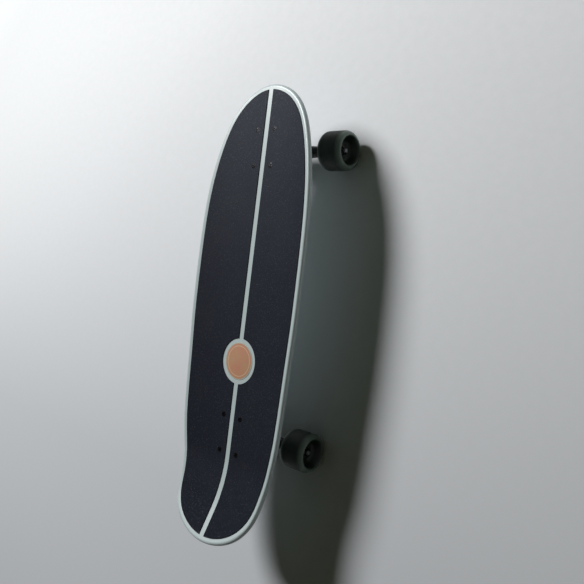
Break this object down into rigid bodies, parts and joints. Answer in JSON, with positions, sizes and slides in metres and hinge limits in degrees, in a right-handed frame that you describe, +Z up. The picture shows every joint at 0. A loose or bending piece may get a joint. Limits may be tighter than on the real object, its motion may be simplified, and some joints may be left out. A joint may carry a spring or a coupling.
{
  "type": "surf skateboard",
  "caption": "Wide kicktail surf skateboard with a swing-arm front truck, a kingpin rear truck, soft wheels and split grip round a pale stringer.",
  "frame": {"origin": "middle of the box of the whole board, on the ground under its four wheels", "axes": "+X to the rider's right, +Y towards the nose, +Z up out of the deck"},
  "size_m": [0.2568, 0.804, 0.164],
  "materials": {
    "deck": "maple plies, painted pale grey-green with a satin lacquer",
    "grip": "charcoal grip sheet, coarse grit",
    "badge": "terracotta print, plain rings",
    "deck_hardware": "black oxide steel",
    "riser": "black riser rubber",
    "pivot_cup": "black plastic",
    "bushing": "dark green-black urethane",
    "truck_casting": "satin black coated aluminium",
    "wheel": "dark smoky green urethane",
    "bearing": "bearing steel with dark shields",
    "truck_steel": "zinc plated steel"
  },
  "bodies": {
    "board": {"deck": "deck", "grip_left": "grip", "grip_right": "grip", "badge": "badge", "deck_bolt_front_outer_left": "deck_hardware", "deck_bolt_front_outer_right": "deck_hardware", "deck_bolt_front_inner_left": "deck_hardware", "deck_bolt_front_inner_right": "deck_hardware", "deck_bolt_rear_outer_left": "deck_hardware", "deck_bolt_rear_outer_right": "deck_hardware", "deck_bolt_rear_inner_left": "deck_hardware", "deck_bolt_rear_inner_right": "deck_hardware", "deck_nut_front_outer_left": "deck_hardware", "deck_nut_front_outer_right": "deck_hardware", "deck_nut_front_inner_left": "deck_hardware", "deck_nut_front_inner_right": "deck_hardware", "deck_nut_rear_outer_left": "deck_hardware", "deck_nut_rear_outer_right": "deck_hardware", "deck_nut_rear_inner_left": "deck_hardware", "deck_nut_rear_inner_right": "deck_hardware", "front_riser": "riser", "rear_riser": "riser", "front_base_plate": "truck_casting", "rear_base_plate": "truck_casting", "swing_bolt": "truck_steel", "swing_nut": "truck_steel", "swing_bearing": "bearing", "swing_spring": "truck_steel", "rear_kingpin": "truck_steel", "rear_kingpin_nut": "truck_steel", "rear_upper_bushing": "bushing", "rear_lower_bushing": "bushing", "rear_pivot_cup": "pivot_cup"},
    "front_swing": {"swing_arm": "truck_casting", "front_kingpin": "truck_steel", "front_kingpin_nut": "truck_steel", "front_upper_bushing": "bushing", "front_lower_bushing": "bushing", "front_pivot_cup": "pivot_cup"},
    "front_truck": {"front_hanger": "truck_casting", "front_axle": "truck_steel", "front_left_axle_nut": "truck_steel", "front_right_axle_nut": "truck_steel"},
    "rear_truck": {"rear_hanger": "truck_casting", "rear_axle": "truck_steel", "rear_left_axle_nut": "truck_steel", "rear_right_axle_nut": "truck_steel"},
    "front_left": {"front_left_wheel": "wheel", "front_left_inner_bearing": "bearing", "front_left_outer_bearing": "bearing"},
    "front_right": {"front_right_wheel": "wheel", "front_right_inner_bearing": "bearing", "front_right_outer_bearing": "bearing"},
    "rear_left": {"rear_left_wheel": "wheel", "rear_left_inner_bearing": "bearing", "rear_left_outer_bearing": "bearing"},
    "rear_right": {"rear_right_wheel": "wheel", "rear_right_inner_bearing": "bearing", "rear_right_outer_bearing": "bearing"}
  },
  "joints": [
    {"name": "front_arm_swing", "type": "hinge", "parent": "board", "child": "front_swing", "pos_m": [0, 0.34356, 0.0847], "axis": [0, 0.1045, 0.9945], "range_deg": [-35, 35], "stiffness_Nm_per_rad": 8, "deforming": ["swing_spring"]},
    {"name": "front_truck_steer", "type": "hinge", "parent": "front_swing", "child": "front_truck", "pos_m": [0, 0.31656, 0.0727], "axis": [0, -0.8517, -0.5241], "range_deg": [-18, 18], "stiffness_Nm_per_rad": 30, "deforming": ["front_upper_bushing", "front_lower_bushing"]},
    {"name": "rear_truck_steer", "type": "hinge", "parent": "board", "child": "rear_truck", "pos_m": [0, -0.24694, 0.0727], "axis": [0, 0.8517, -0.5241], "range_deg": [-18, 18], "stiffness_Nm_per_rad": 30, "deforming": ["rear_upper_bushing", "rear_lower_bushing"]},
    {"name": "front_left_spin", "type": "hinge", "parent": "front_truck", "child": "front_left", "pos_m": [-0.0972, 0.30056, 0.0347], "axis": [1, 0, 0], "continuous": true},
    {"name": "front_right_spin", "type": "hinge", "parent": "front_truck", "child": "front_right", "pos_m": [0.0972, 0.30056, 0.0347], "axis": [1, 0, 0], "continuous": true},
    {"name": "rear_left_spin", "type": "hinge", "parent": "rear_truck", "child": "rear_left", "pos_m": [-0.0972, -0.23094, 0.0347], "axis": [1, 0, 0], "continuous": true},
    {"name": "rear_right_spin", "type": "hinge", "parent": "rear_truck", "child": "rear_right", "pos_m": [0.0972, -0.23094, 0.0347], "axis": [1, 0, 0], "continuous": true}
  ]
}
